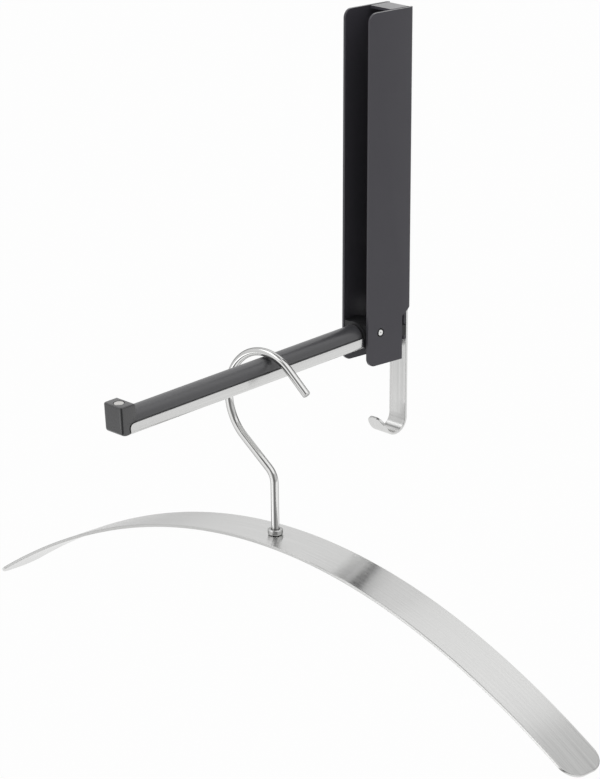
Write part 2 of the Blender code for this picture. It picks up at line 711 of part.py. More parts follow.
def make_hanger_blade(stem):
    half = BLADE_WIDTH / 2
    end_slope = 2 * BLADE_SAG / BLADE_HALF_SPAN
    corner_run = BLADE_CORNER / hypot(1.0, end_slope)

    def place(x, b):
        from_end = (BLADE_HALF_SPAN - abs(x)) * BLADE_CORNER / corner_run
        y = b * half * corner_share(max(0.0, from_end), BLADE_CORNER, half)
        return Vector((x, y, -BLADE_SAG * (x / BLADE_HALF_SPAN) ** 2))

    ends = [BLADE_HALF_SPAN - s for s in end_stations(corner_run)]
    flat = BLADE_HALF_SPAN - corner_run
    middle = [flat * (2 * step / BLADE_SPANS - 1) for step in range(1, BLADE_SPANS)]
    stations = [-x for x in ends] + middle + list(reversed(ends))
    blade = part("hanger_blade", strip_mesh("hanger_blade", stations, place), BRUSHED_STEEL, stem)
    thicken(blade, BLADE_SHEET, -1.0)
    cut(blade, cylinder_mesh("wire_hole", WIRE_HOLE_RADIUS, -4 * BLADE_SHEET, 4 * BLADE_SHEET,
                             (0.0, 0.0, 1.0), (0.0, 0.0, 0.0)))


# Assembly

def main():
    make_wall_channel()
    make_hook_strip()
    make_strip_rivets()
    make_pivot_pin()
    axis = frame_empty("arm_pivot", PIVOT, (ARM_DROOP, 0.0, 0.0))
    make_hinge_block(axis)
    make_arm_profile(axis)
    make_arm_cover(axis)
    make_end_cap(axis)
    make_magnet(axis)
    stem = hanger_frames()
    make_hook_wire(stem)
    make_hook_rings(stem)
    make_hanger_blade(stem)


main()
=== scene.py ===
"""Looks of a fold-down wall hook with a J hook and a coat hanger: fine surfaces, finishes, light and camera.

Arrays hold metres, in the frame of the construction model: X to the right along the wall, Y into the wall,
Z up. Curved pieces are worked out as whole arrays of points and stand for the plainer solids.
"""

import json
from math import cos, pi, radians, sin

import bmesh
import bpy
import numpy as np
from bpy.props import FloatProperty, FloatVectorProperty, PointerProperty, StringProperty
from bpy.types import Node, NodeSocket, Operator, Panel, PropertyGroup
from mathutils import Matrix, Vector


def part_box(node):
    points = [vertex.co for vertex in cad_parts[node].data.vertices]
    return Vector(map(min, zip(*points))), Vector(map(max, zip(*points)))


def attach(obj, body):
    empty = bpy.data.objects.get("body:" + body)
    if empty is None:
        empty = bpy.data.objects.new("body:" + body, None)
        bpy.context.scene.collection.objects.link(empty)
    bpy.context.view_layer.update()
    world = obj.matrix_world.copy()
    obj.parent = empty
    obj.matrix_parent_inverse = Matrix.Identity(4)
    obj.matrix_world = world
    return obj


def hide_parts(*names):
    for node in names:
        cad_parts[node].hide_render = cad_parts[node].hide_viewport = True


bl_info = {
    "name": "Fold-down Wall Hook",
    "version": (1, 0, 0),
    "blender": (4, 5, 0),
    "location": "View3D > Sidebar > Wall Hook",
    "description": "Fine surfaces, finishes and stage of a fold-down wall hook with a coat hanger",
    "category": "Object",
}

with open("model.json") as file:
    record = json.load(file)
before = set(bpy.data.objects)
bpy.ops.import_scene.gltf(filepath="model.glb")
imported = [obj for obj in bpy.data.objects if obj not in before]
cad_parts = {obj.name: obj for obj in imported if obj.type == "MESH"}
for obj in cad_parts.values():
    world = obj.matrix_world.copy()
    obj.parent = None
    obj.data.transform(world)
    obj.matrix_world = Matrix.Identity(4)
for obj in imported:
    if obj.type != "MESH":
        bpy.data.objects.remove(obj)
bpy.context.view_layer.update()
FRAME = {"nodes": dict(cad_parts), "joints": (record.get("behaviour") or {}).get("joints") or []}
JOINTS = {joint["name"]: joint for joint in FRAME["joints"]}
PIVOT = np.array(JOINTS["arm_fold"]["pos_m"])
STEM_FOOT = np.array(JOINTS["hook_swivel"]["pos_m"])
RIVETS = ("strip_rivet_upper", "strip_rivet_lower")
UV_NAME = "surface"
MM = 0.001

# Numbers of points in the curves
ROUND_STEPS = 64  # round a turned piece
DRILL_STEPS = 48  # round a drilled hole
WIRE_ROUND_STEPS = 40  # round the wire
WIRE_STEPS = 320  # along the plain wire
STRIP_STEPS = 240  # along the J strip
BLADE_STEPS = 180  # along the blade
ARM_STEPS = 24  # along the arm
ARCH_STEPS = 49  # over the half-round cover
FINE_STEPS = 4001  # of a curve that is summed up or measured

# Small angles and lengths
POLE_ANGLE = 0.02  # from a dome's pole to its first ring
POLE_RADIUS = 0.02 * MM  # of a dimple's first ring
ARRIS = 0.05 * MM  # slightest rounding of a turned edge
TINY = 1e-7  # stands for a radius of zero
SMOOTH_ANGLE = radians(35.0)  # edges sharper than this stay sharp
FLAT_ANGLE = radians(0.5)  # triangles that differ less than this are joined
MERGE_GAP = 0.002 * MM  # corners closer than this are one

# Orders of x, y and z that lay a turned piece along X or along Y
ALONG_X = [2, 0, 1]
ALONG_Y = [0, 2, 1]

# Where most values of a noise pattern lie, as inputs of a Map Range node
NOISE_RANGE = {"_1": 0.3, "_2": 0.7}

# Light panels: direction, cosines of the angles where the light begins and is full, strength
PANELS = (
    ((0.45, 0.12, 0.88), 0.78, 0.90, 1.10),  # overhead
    ((-0.17, -0.98, 0.0), 0.83, 0.94, 1.05),  # in front
    ((-0.80, -0.55, 0.15), 0.55, 0.86, 0.80),  # to the left
    ((-0.52, 0.68, 0.50), 0.72, 0.90, 0.92),  # behind, wide
    ((-0.18, 0.65, 0.738), 0.970, 0.986, 1.20),  # behind, narrow
    ((0.85, 0.50, 0.10), 0.62, 0.88, 0.64),  # to the right
    ((-0.50, -0.75, -0.44), 0.982, 0.994, 1.90),  # low in front, narrow
)


# Settings

def number(name, description, value, **kind):
    """A number property, plain or of a kind."""
    return FloatProperty(name=name, description=description, default=value, **kind)


def length(name, description, millimetres):
    """A length property, given in millimetres and kept in metres."""
    return number(name, description, millimetres * MM, unit="LENGTH", precision=5)


def turn(name, description, degrees):
    """An angle property, given in degrees."""
    return number(name, description, radians(degrees), subtype="ANGLE")


def point(name, description, metres):
    """A place, or the sides of a flat piece, in metres."""
    return FloatVectorProperty(name=name, description=description, default=metres, size=len(metres),
                               unit="LENGTH")


def colour(name, description, code):
    """An sRGB colour property as a hex code."""
    return StringProperty(name=name, description=description, default=code)


class BracketSizes(PropertyGroup):
    """Sizes of the channel, the J strip, the rivets and the pivot pin."""

    sheet_edge: length("Sheet edge", "Rounding of the painted sheet's edges", 0.3)
    strip_sheet: length("Strip sheet", "Thickness of the J strip", 1.5)
    strip_edge: length("Strip edge", "Rounding of the J strip's edges", 0.25)
    strip_bend: length("Strip bend", "Outer radius of the J", 9.0)
    strip_leg: length("Strip leg", "Straight length of the J's tip", 7.2)
    strip_leg_angle: turn("Leg angle", "Slope of the J's tip", 60.0)
    strip_tip_corner: length("Tip corner", "Corner radius of the J's tip", 5.5)
    strip_top_corner: length("Top corner", "Corner radius of the strip's upper end", 2.5)
    hole_edge: length("Hole edge", "Rounding of the strip's holes", 0.12)
    screw_hole: length("Screw hole", "Diameter of the wall screw holes", 5.2)
    upper_screw: length("Upper screw", "Height of the upper screw hole", 72.0)
    lower_screw: length("Lower screw", "Height of the lower screw hole", -36.0)
    rivet_shank: length("Rivet shank", "Diameter of a rivet's shank", 3.2)
    rivet_tail_depth: length("Rivet tail depth", "Depth of a rivet's flush tail", 0.7)
    rivet_tail_rim: length("Rivet tail rim", "Overhang of a rivet's flush tail", 0.7)
    rivet_head: length("Rivet head", "Height of a rivet's domed head", 0.9)
    fit_gap: length("Gap", "Gap between pieces that touch", 0.3)
    pin_edge: length("Pin edge", "Rounding of the pin's turned edges", 0.08)
    pin_chamfer: length("Pin chamfer", "Chamfer of the pivot pin", 0.15)
    pin_proud: length("Pin proud", "Height of the pin's ends above the flanges", 0.1)
    pin_play: length("Pin play", "Amount taken off the pin's radius, for the dark ring round it", 0.3)
    pin_hole: length("Pin hole", "Radius of the holes drawn round the pin", 2.5)
    pin_hole_run: length("Pin hole run", "Reach of the drill to both sides", 20.0)
    pin_dimple: length("Pin dimple", "Radius and depth of the pin's centre marks", 0.45)


class ArmSizes(PropertyGroup):
    """Sizes of the folding arm, with heights from its pivot."""

    droop: turn("Droop", "Slope of the arm at rest", 4.15)
    profile_half: length("Profile half width", "Half the width of the steel profile", 8.0)
    profile_sheet: length("Profile sheet", "Thickness of the steel profile", 1.0)
    profile_bend: length("Profile bend", "Outer bend radius of the steel profile", 1.6)
    profile_low: length("Profile underside", "Height of the profile's underside", -7.05)
    profile_high: length("Profile edge", "Height of the profile's upper edges", -1.05)
    profile_start: length("Profile start", "Distance of the profile's inner end", 11.0)
    profile_end: length("Profile end", "Distance of the profile's outer end", 180.1)
    profile_corner: length("Profile corner", "Corner radius of the side walls", 2.6)
    profile_rim: length("Profile rim", "Rounding of the sheet's edges", 0.15)
    cover_radius: length("Cover radius", "Radius of the half-round cover", 6.7)
    cover_wall: length("Cover wall", "Wall thickness of the cover", 2.0)
    cover_axis: length("Cover axis", "Height of the cover's axis", -1.45)
    cover_foot: length("Cover foot", "Height of the cover's lower edges", -5.75)
    cover_start: length("Cover start", "Distance of the cover's inner end", 10.7)
    cover_end: length("Cover end", "Distance of the cover's outer end", 175.4)
    moulding_edge: length("Moulding edge", "Rounding of the moulded edges", 0.35)
    groove_depth: length("Groove depth", "Depth of the cover's shadow groove", 0.45)
    groove_height: length("Groove height", "Height of the groove above the profile's edge", 0.55)
    cap_gap: length("Cap gap", "Gap between the cap and its neighbours", 0.3)
    cap_edge: length("Cap edge", "Rounding of the cap's upper and lower edges", 0.8)
    cap_round: length("Cap round", "Rounding of the cap's outer upright edges", 1.6)
    cap_spare: length("Cap spare", "Width that the cap gains on each side over its solid", 0.4)
    cap_foot: length("Cap foot", "Rounding of the cap's outer lower edge", 2.2)
    cap_rim: length("Cap rim", "Rounding of the cap's inner upright edges", 0.3)
    magnet_edge: length("Magnet edge", "Rounding of the magnet's rim", 0.35)


class HangerSizes(PropertyGroup):
    """Sizes of the hanger, from the blade's top at the foot of the hook's stem."""

    yaw: turn("Yaw", "Turn of the hanger about the vertical", 3.0)
    roll: turn("Roll", "Lift of the hanger's right end", 1.06)
    wire: length("Wire", "Diameter of the hook's wire", 4.5)
    stem: length("Stem", "Straight length above the blade", 29.4)
    stem_bend: turn("Stem bend", "Bend between stem and slope", 53.1)
    stem_bend_radius: length("Stem bend radius", "Radius of that bend", 10.5)
    slope: length("Slope", "Straight length below the crook", 23.9)
    crook: turn("Crook", "Sweep of the crook", 183.0)
    crook_radius: length("Crook radius", "Radius of the crook", 28.7)
    tip: length("Tip", "Straight length after the crook", 17.6)
    tip_edge: length("Tip edge", "Rounding of the cut end", 0.5)
    bend_ease: length("Bend ease", "Length over which a bend begins and ends", 2.4)
    fit_gap: length("Gap", "Gap between pieces that touch", 0.3)
    collar_wall: length("Collar wall", "Wall of the collar on the blade", 1.65)
    collar_height: length("Collar height", "Height of the collar", 3.0)
    collar_edge: length("Collar edge", "Rounding of the collar", 0.55)
    washer_wall: length("Washer wall", "Wall of the washer below the blade", 1.6)
    washer_height: length("Washer height", "Thickness of the washer", 0.8)
    washer_edge: length("Washer edge", "Rounding of the washer", 0.15)
    peen_rim: length("Peen rim", "Overhang of the peened end", 1.0)
    peen_height: length("Peen height", "Height of the peened end", 1.4)
    peen_edge: length("Peen edge", "Amount that the peened end draws in at its foot", 0.25)
    half_span: length("Half span", "Half the blade's width", 226.0)
    sag: length("Sag", "Drop of the blade's ends", 75.0)
    blade_width: length("Blade width", "Width of the strip", 29.0)
    blade_sheet: length("Blade sheet", "Thickness of the strip", 1.8)
    blade_corner: length("Blade corner", "Corner radius of the blade's ends", 11.0)
    blade_edge: length("Blade edge", "Rounding of the blade's edges", 0.4)
    hole_edge: length("Hole edge", "Rounding of the hole for the wire", 0.15)
    hole_run: length("Hole run", "Reach of the drill above and below the blade's top", 8.0)


class Finishes(PropertyGroup):
    """Colours of the finishes, as sRGB hex codes, and the floor's share of white."""

    paint: colour("Paint", "Satin black paint of the channel", "#3c3a43")
    plastic: colour("Plastic", "Black plastic of the cap", "#27272a")
    extrusion: colour("Extrusion", "Black plastic of the cover", "#4b4b4e")
    nylon: colour("Nylon", "Black nylon of the hinge block", "#2a2a2c")
    steel: colour("Brushed steel", "Brushed stainless steel", "#dededd")
    bright: colour("Bright steel", "Drawn and polished stainless steel", "#e3e3e2")
    bright_rim: colour("Bright rim", "Polished steel seen at a low angle, where it is darker", "#868686")
    nickel: colour("Nickel", "Nickel plating of the magnet", "#d6d5d2")
    floor: colour("Floor", "Pale floor", "#f4f4f2")
    floor_white: number("Floor white", "Share of white that the camera and mirrors see in the floor", 0.96)


class StageSizes(PropertyGroup):
    """Camera, floor and light."""

    camera: point("Camera", "Place of the camera", (1.23923, -1.2162, 0.43824))
    azimuth: turn("Azimuth", "Turn of the camera to the left of the wall's normal", 47.404)
    pitch: turn("Pitch", "Tilt of the camera below the horizon", 17.913)
    lens: number("Lens", "Focal length in mm", 147.88)
    sensor: number("Sensor", "Longer side of the camera's frame in mm", 36.0)
    floor_height: length("Floor height", "Height of the floor from the origin", -1200.0)
    floor_side: length("Floor side", "Side of the floor", 30000.0)
    floor_front: length("Floor front", "Place of the floor's front edge", -900.0)
    room: number("Room", "Brightness of the dark side of the studio", 0.22)
    horizon: number("Horizon", "Share of the studio's light that is left at the horizon", 0.85)
    horizon_rise: number("Horizon rise", "Height above the horizon, as a sine, where all of it is left", 0.2)
    key: number("Key light", "Power of the overhead light in watts", 3.0)
    key_size: point("Key size", "Sides of the overhead light", (1.2, 0.8))
    key_place: point("Key place", "Place of the overhead light", (-0.6, -0.7, 1.1))
    key_aim: point("Key aim", "Point that the overhead light faces", (0.0, -0.1, -0.1))


# Arrays and meshes

def linear(code):
    """Linear red, green, blue and alpha of an sRGB hex code, by the sRGB curve."""
    values = np.array([int(code[i:i + 2], 16) / 255 for i in (1, 3, 5)])
    bright = ((values + 0.055) / 1.055) ** 2.4
    return (*np.where(values <= 0.04045, values / 12.92, bright), 1.0)


def arm_turn(points, arm):
    """Changes (across, outward, up) of the arm into (x, y, z) from the pivot, by its droop. The same change
    leads back."""
    across, outward, up = np.moveaxis(points, -1, 0)
    y = -outward * cos(arm.droop) - up * sin(arm.droop)
    z = -outward * sin(arm.droop) + up * cos(arm.droop)
    return np.stack([across, y, z], -1)


def arm_place(points, arm):
    """Points (across, outward, up) of the arm, set on the pivot."""
    return arm_turn(points, arm) + PIVOT


def arm_box(node, arm):
    """Lowest and highest (across, outward, up) of a solid of the arm."""
    points = np.array([vertex.co for vertex in FRAME["nodes"][node].data.vertices])
    box = arm_turn(points - PIVOT, arm)
    return box.min(0), box.max(0)


def hanger_place(points, hanger):
    """Points of the hanger's own frame: its right end is lifted by the roll, then it is turned by the yaw and
    set on the foot of its stem."""
    rotation = Matrix.Rotation(hanger.yaw, 4, "Z") @ Matrix.Rotation(-hanger.roll, 4, "Y")
    return points @ np.array(rotation.to_3x3()).T + STEM_FOOT


def quarter(steps):
    """Angles of a quarter circle."""
    return np.linspace(0.0, pi / 2, steps)


def end_steps(radius, steps):
    """Distances from an end that follow a rounded corner, radius x (1 - cosine)."""
    return radius * (1 - np.cos(quarter(steps)))


def arc_rise(distance, radius):
    """Rise of a quarter circle that starts upright, at a distance from its start."""
    left = np.clip(radius - distance, 0.0, radius)
    return np.sqrt(radius ** 2 - left ** 2)


def unit(vectors):
    """Vectors divided by their lengths."""
    return vectors / np.linalg.norm(vectors, axis=-1, keepdims=True)


def filleted(corners, steps=7):
    """Outline of a polygon whose corners (x, y, radius) are rounded: each corner is an arc about the point on
    its bisector at radius / sin(half its angle)."""
    corners = np.array(corners, float)
    here = corners[:, :2]
    before = unit(np.roll(here, 1, 0) - here)
    after = unit(np.roll(here, -1, 0) - here)
    half = np.arccos(np.clip((before * after).sum(1), -1, 1)) / 2
    radius = np.maximum(corners[:, 2], TINY)
    bisector = unit(before + after)
    centre = here + bisector * (radius / np.sin(half))[:, None]
    start = here + before * (radius / np.tan(half))[:, None] - centre
    side = np.sign(before[:, 1] * after[:, 0] - before[:, 0] * after[:, 1])
    angle = (side * (pi - 2 * half))[:, None] * np.linspace(0, 1, steps)
    x = start[:, :1] * np.cos(angle) - start[:, 1:] * np.sin(angle)
    y = start[:, :1] * np.sin(angle) + start[:, 1:] * np.cos(angle)
    return (np.stack([x, y], -1) + centre[:, None]).reshape(-1, 2)


def run_length(points):
    """Distance along a row of points, from its first one."""
    steps = np.linalg.norm(np.diff(points, axis=0), axis=1)
    return np.concatenate([[0.0], np.cumsum(steps)])


def ring_quads(rows, columns, looped=False):
    """Row, column and corners of each face of a grid whose columns run round, and its rows where looped."""
    row, column = np.meshgrid(np.arange(rows if looped else rows - 1), np.arange(columns), indexing="ij")
    here = row * columns
    below = (row + 1) % rows * columns
    beside = (column + 1) % columns
    quads = np.stack([here + column, here + beside, below + beside, below + column], -1)
    return row, column, quads.reshape(-1, 4)


def skin(rings, looped=False):
    """Closed mesh of a grid of points (row, column): columns run round, rows run along and end in flat caps,
    or join up where looped. The UV map holds the distance along and the distance round, in metres."""
    rows, columns = rings.shape[:2]
    row, column, quads = ring_quads(rows, columns, looped)
    widest = rings[np.argmax(np.ptp(rings, axis=1).sum(-1))]
    round_run = run_length(np.concatenate([widest, widest[:1]]))
    along_run = run_length(rings.mean(1))
    if looped or along_run[-1] == 0.0:
        along_run = run_length(np.concatenate([rings[:, 0], rings[:1, 0]]))
    along = along_run[np.stack([row, row, row + 1, row + 1], -1)]
    around = round_run[np.stack([column, column + 1, column + 1, column], -1)]
    corner_uv = np.stack([along, around], -1).reshape(-1, 2)
    faces = quads.tolist()
    if not looped:
        first = np.arange(columns)
        last = first + (rows - 1) * columns
        faces += [first[::-1].tolist(), last.tolist()]
        for ring, order, run in ((rings[0], -1, along_run[0]), (rings[-1], 1, along_run[-1])):
            arms = (ring - ring.mean(0))[::order]
            long_way = unit(arms[np.argmax((arms ** 2).sum(1))])
            across = arms - (arms @ long_way)[:, None] * long_way
            short_way = unit(across[np.argmax((across ** 2).sum(1))])
            cap_uv = np.stack([run + arms @ short_way, arms @ long_way], -1)
            corner_uv = np.concatenate([corner_uv, cap_uv])
    return mesh_from(rings.reshape(-1, 3), faces, corner_uv)


def mesh_from(points, faces, corner_uv):
    """Mesh with a UV map, its faces turned outwards and its curved faces shaded smooth."""
    mesh = bpy.data.meshes.new("skin")
    mesh.from_pydata(points, [], faces)
    layer = mesh.uv_layers.new(name=UV_NAME)
    layer.data.foreach_set("uv", corner_uv.astype(np.float32).ravel())
    shape = bmesh.new()
    shape.from_mesh(mesh)
    bmesh.ops.recalc_face_normals(shape, faces=shape.faces)
    shape.to_mesh(mesh)
    shape.free()
    smooth(mesh)
    return mesh


def smooth(mesh):
    """Smooth shading across shallow angles."""
    mesh.shade_smooth()
    mesh.set_sharp_from_angle(angle=SMOOTH_ANGLE)


def turned(profile, steps=ROUND_STEPS):
    """Rings of a turned piece: each (radius, height) point runs round the Z axis."""
    angle = np.linspace(0.0, 2 * pi, steps, endpoint=False)
    radius, height = profile[:, :1], profile[:, 1:]
    return np.stack(np.broadcast_arrays(radius * np.cos(angle), radius * np.sin(angle), height), -1)


def bore(radius, start, end, steps=DRILL_STEPS):
    """Rings of a drill: a cylinder round the Z axis between two heights."""
    return turned(np.array([(radius, start), (radius, end)]), steps)


def swept(outline, stations):
    """Rings of an outline (across, up) that is carried straight along the given distances."""
    return np.stack(np.broadcast_arrays(outline[:, 0], stations[:, None], outline[:, 1]), -1)


def strip_side(total, half, first, last, steps):
    """One side of a strip with rounded ends, from its first end to its last: the run, the half width, and the
    two parts of the inward normal. The corners are quarter circles, and the steps run between them."""
    angle = quarter(13)
    sine, cosine = np.sin(angle), np.cos(angle)
    straight = first + (total - first - last) * np.linspace(0.0, 1.0, steps)[1:-1]
    level = np.zeros_like(straight)
    run = np.concatenate([first * (1 - cosine), straight, (total - last * (1 - cosine))[::-1]])
    width = np.concatenate([half - first * (1 - sine), level + half, (half - last * (1 - sine))[::-1]])
    along = np.concatenate([cosine, level, -cosine[::-1]])
    aside = np.concatenate([sine, level + 1.0, sine[::-1]])
    return run, width, along, aside


def bent_strip(side, place, top, foot, edge):
    """Closed strip with rounded edges: its outline is drawn in by an inset at each depth, where inset and
    depth follow a quarter circle, a straight side and another quarter circle, and place bends the flat strip.
    Its faces are bands from left to right. The UV map is the outline laid flat, in metres."""
    angle = quarter(5)
    guard = 2 * edge
    closing, opening = edge * (1 - np.sin(angle)), edge * (1 - np.cos(angle))
    inset = np.concatenate([[guard], closing, opening, [guard]])[:, None]
    depth = np.concatenate([[top], top - opening, foot + closing, [foot]])[:, None]
    spread = guard - run_length(np.concatenate([inset, depth], 1))[:, None]
    run, width, along, aside = (np.concatenate([part, part[::-1]]) for part in side)
    count = len(run)
    hand = np.repeat([-1.0, 1.0], count // 2)
    points = place(run + inset * along, hand * (width - inset * aside), depth + 0.0 * run)
    uv = np.stack([run + spread * along, hand * (width - spread * aside)], -1).reshape(-1, 2)
    rim = ring_quads(len(inset), count)[2]
    left = np.arange(count // 2 - 1)
    band = np.stack([left, left + 1, count - 2 - left, count - 1 - left], -1)
    quads = np.concatenate([rim, band[:, ::-1], band + (len(inset) - 1) * count])
    return mesh_from(points.reshape(-1, 3), quads.tolist(), uv[quads.ravel()])


# Pieces

def piece(name, mesh, body, slot, material, *nodes):
    """A finished piece that rides on a body and stands for its plainer solids."""
    mesh.name = name
    item = bpy.data.objects.new(name, mesh)
    bpy.context.scene.collection.objects.link(item)
    mesh.materials.clear()
    mesh.materials.append(material)
    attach(item, body)
    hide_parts(*nodes)
    return item


def round_edges(item, width, segments=2, limit=50.0):
    """Rounds the edges that are sharper than the limit, in degrees."""
    modifier = item.modifiers.new("edges", "BEVEL")
    modifier.width = width
    modifier.segments = segments
    modifier.limit_method = "ANGLE"
    modifier.angle_limit = radians(limit)
    modifier.harden_normals = True


def solid_copy(node):
    """Copy of a solid with its triangles merged and flat neighbours joined."""
    source = FRAME["nodes"][node].data
    points = [vertex.co for vertex in source.vertices]
    faces = [list(face.vertices) for face in source.polygons]
    mesh = bpy.data.meshes.new(node)
    mesh.from_pydata(points, [], faces)
    shape = bmesh.new()
    shape.from_mesh(mesh)
    bmesh.ops.remove_doubles(shape, verts=shape.verts, dist=MERGE_GAP)
    bmesh.ops.dissolve_limit(shape, angle_limit=FLAT_ANGLE, verts=shape.verts, edges=shape.edges)
    shape.to_mesh(mesh)
    shape.free()
    smooth(mesh)
    return mesh


def baked(item):
    """Applies an object's modifiers to its mesh."""
    graph = bpy.context.evaluated_depsgraph_get()
    mesh = bpy.data.meshes.new_from_object(item.evaluated_get(graph), preserve_all_data_layers=True,
                                           depsgraph=graph)
    item.modifiers.clear()
    old = item.data
    item.data = mesh
    bpy.data.meshes.remove(old)
    smooth(mesh)


def drill(item, *holes):
    """Cuts the skins of rings of points out of an object and applies the cuts."""
    cutters = [bpy.data.objects.new("drill", skin(rings)) for rings in holes]
    for cutter in cutters:
        bpy.context.scene.collection.objects.link(cutter)
        modifier = item.modifiers.new("drill", "BOOLEAN")
        modifier.operation = "DIFFERENCE"
        modifier.object = cutter
    baked(item)
    for cutter in cutters:
        mesh = cutter.data
        bpy.data.objects.remove(cutter)
        bpy.data.meshes.remove(mesh)


# Materials

def fill(tree, node, **values):
    """Sets a node's properties, whose names are in lower case, and fills its inputs, by name or number, with
    values or with links from a socket or from a node's first output."""
    for key, value in values.items():
        if key.islower():
            setattr(node, key, value)
            continue
        socket = node.inputs[int(key[1:])] if key[1:].isdigit() else node.inputs[key.replace("_", " ")]
        source = value.outputs[0] if isinstance(value, Node) else value
        if isinstance(source, NodeSocket):
            tree.links.new(source, socket)
        else:
            socket.default_value = source


def add_node(tree, kind, **values):
    """Adds a shader node and fills it."""
    node = tree.nodes.new("ShaderNode" + kind)
    fill(tree, node, **values)
    return node


def finish(fill_shader):
    """Turns a function that fills a Principled shader into one that gives the material named after it, made
    once."""
    def material():
        found = bpy.data.materials.get(fill_shader.__name__)
        if found is None:
            found = bpy.data.materials.new(fill_shader.__name__)
            found.use_nodes = True
            tree = found.node_tree
            fill_shader(tree, tree.nodes["Principled BSDF"], bpy.context.scene.hook_finishes)
        return found
    return material


def grain(tree, size_mm, detail):
    """Noise with spots of the given size, on Object coordinates."""
    place = add_node(tree, "TexCoord").outputs["Object"]
    return add_node(tree, "TexNoise", Vector=place, Scale=1 / (size_mm * MM), Detail=detail)


def drawn_lines(tree, line_mm, run_mm, detail, breakup):
    """Noise stretched to lines of the given width and length, which run along U on the UV map."""
    place = add_node(tree, "UVMap", uv_map=UV_NAME)
    stretch = add_node(tree, "Mapping", Vector=place, Scale=(1 / (run_mm * MM), 1 / (line_mm * MM), 1.0))
    return add_node(tree, "TexNoise", Vector=stretch, Scale=1.0, Detail=detail, Roughness=breakup)


@finish
def powder_coated_steel(tree, shader, finishes):
    """Satin powder-coated steel: a dark coat with faint orange peel, so its gloss is soft and uneven."""
    peel = grain(tree, size_mm=0.9, detail=2.0)
    cloud = grain(tree, size_mm=18.0, detail=3.0)
    gloss = add_node(tree, "MapRange", _0=cloud, **NOISE_RANGE, _3=0.32, _4=0.40)
    bump = add_node(tree, "Bump", Height=peel, Strength=0.06, Distance=0.05 * MM)
    fill(tree, shader, Base_Color=linear(finishes.paint), IOR=1.4, Sheen_Weight=1.0, Sheen_Roughness=0.40,
         Roughness=gloss, Normal=bump)


def moulded(tree, shader, code, grain_mm, shine, gloss):
    """Black moulding from a finely eroded mould: a fine grain breaks its gloss, which is even otherwise."""
    spots = grain(tree, grain_mm, detail=2.0)
    rough = add_node(tree, "MapRange", _0=spots, **NOISE_RANGE, _3=gloss[0], _4=gloss[1])
    bump = add_node(tree, "Bump", Height=spots, Strength=0.10, Distance=0.03 * MM)
    fill(tree, shader, Base_Color=linear(code), IOR=1.54, Specular_IOR_Level=shine, Roughness=rough,
         Normal=bump)


@finish
def moulded_abs(tree, shader, finishes):
    """Black ABS of the cap: satin, bright at a low angle."""
    moulded(tree, shader, finishes.plastic, grain_mm=0.35, shine=1.0, gloss=(0.20, 0.27))


@finish
def extruded_abs(tree, shader, finishes):
    """Black ABS of the cover: greyer and duller than the cap."""
    moulded(tree, shader, finishes.extrusion, grain_mm=0.35, shine=1.0, gloss=(0.29, 0.36))


@finish
def filled_nylon(tree, shader, finishes):
    """Filled nylon of the hinge: duller than the cover, without its bright streaks."""
    moulded(tree, shader, finishes.nylon, grain_mm=0.5, shine=0.35, gloss=(0.42, 0.52))


@finish
def brushed_stainless(tree, shader, finishes):
    """Stainless sheet brushed along its length: fine lines along U spread every reflection across the strip.
    The real lines are about 0.2 mm apart and are drawn coarser so that they show."""
    lines = drawn_lines(tree, line_mm=1.1, run_mm=90.0, detail=3.0, breakup=0.6)
    tone = add_node(tree, "MapRange", _0=lines, _1=0.4, _2=0.6, _3=0.895, _4=0.985)
    steel = add_node(tree, "Mix", data_type="RGBA", blend_type="MULTIPLY", _0=1.0, _6=linear(finishes.steel),
                     _7=tone)
    gloss = add_node(tree, "MapRange", _0=lines, **NOISE_RANGE, _3=0.17, _4=0.24)
    bump = add_node(tree, "Bump", Height=lines, Strength=0.03, Distance=0.02 * MM)
    tangent = add_node(tree, "Tangent", direction_type="UV_MAP", uv_map=UV_NAME)
    fill(tree, shader, Base_Color=steel.outputs[2], Metallic=1.0, Roughness=gloss, Normal=bump,
         Anisotropic=1.0, Anisotropic_Rotation=0.25, Tangent=tangent)


@finish
def polished_stainless(tree, shader, finishes):
    """Drawn and polished stainless wire and turned pieces: nearly mirror-bright, with faint lines along U."""
    lines = drawn_lines(tree, line_mm=0.5, run_mm=30.0, detail=2.0, breakup=0.5)
    gloss = add_node(tree, "MapRange", _0=lines, **NOISE_RANGE, _3=0.09, _4=0.14)
    bump = add_node(tree, "Bump", Height=lines, Strength=0.03, Distance=0.02 * MM)
    fill(tree, shader, Base_Color=linear(finishes.bright), Specular_Tint=linear(finishes.bright_rim),
         Metallic=1.0, Roughness=gloss, Normal=bump)


@finish
def nickel_plate(tree, shader, finishes):
    """Nickel-plated magnet: bright, a little cloudy from pressing and plating."""
    cloud = grain(tree, size_mm=1.2, detail=3.0)
    gloss = add_node(tree, "MapRange", _0=cloud, **NOISE_RANGE, _3=0.28, _4=0.42)
    fill(tree, shader, Base_Color=linear(finishes.nickel), Metallic=1.0, Roughness=gloss)


@finish
def pale_floor(tree, shader, finishes):
    """Pale floor that the camera and mirrors see as white, with a little of its own shading left in."""
    fill(tree, shader, Base_Color=linear(finishes.floor), Roughness=0.9)
    path = add_node(tree, "LightPath").outputs
    seen = path["Is Camera Ray"]
    for ray in ("Is Glossy Ray", "Is Transmission Ray"):
        seen = add_node(tree, "Math", operation="MAXIMUM", _0=seen, _1=path[ray])
    share = add_node(tree, "Math", operation="MULTIPLY", _0=seen, _1=finishes.floor_white)
    white = add_node(tree, "Emission", Color=(1.0, 1.0, 1.0, 1.0), Strength=1.0)
    mix = add_node(tree, "MixShader", _0=share, _1=shader, _2=white)
    fill(tree, tree.nodes["Material Output"], Surface=mix)


# Operators

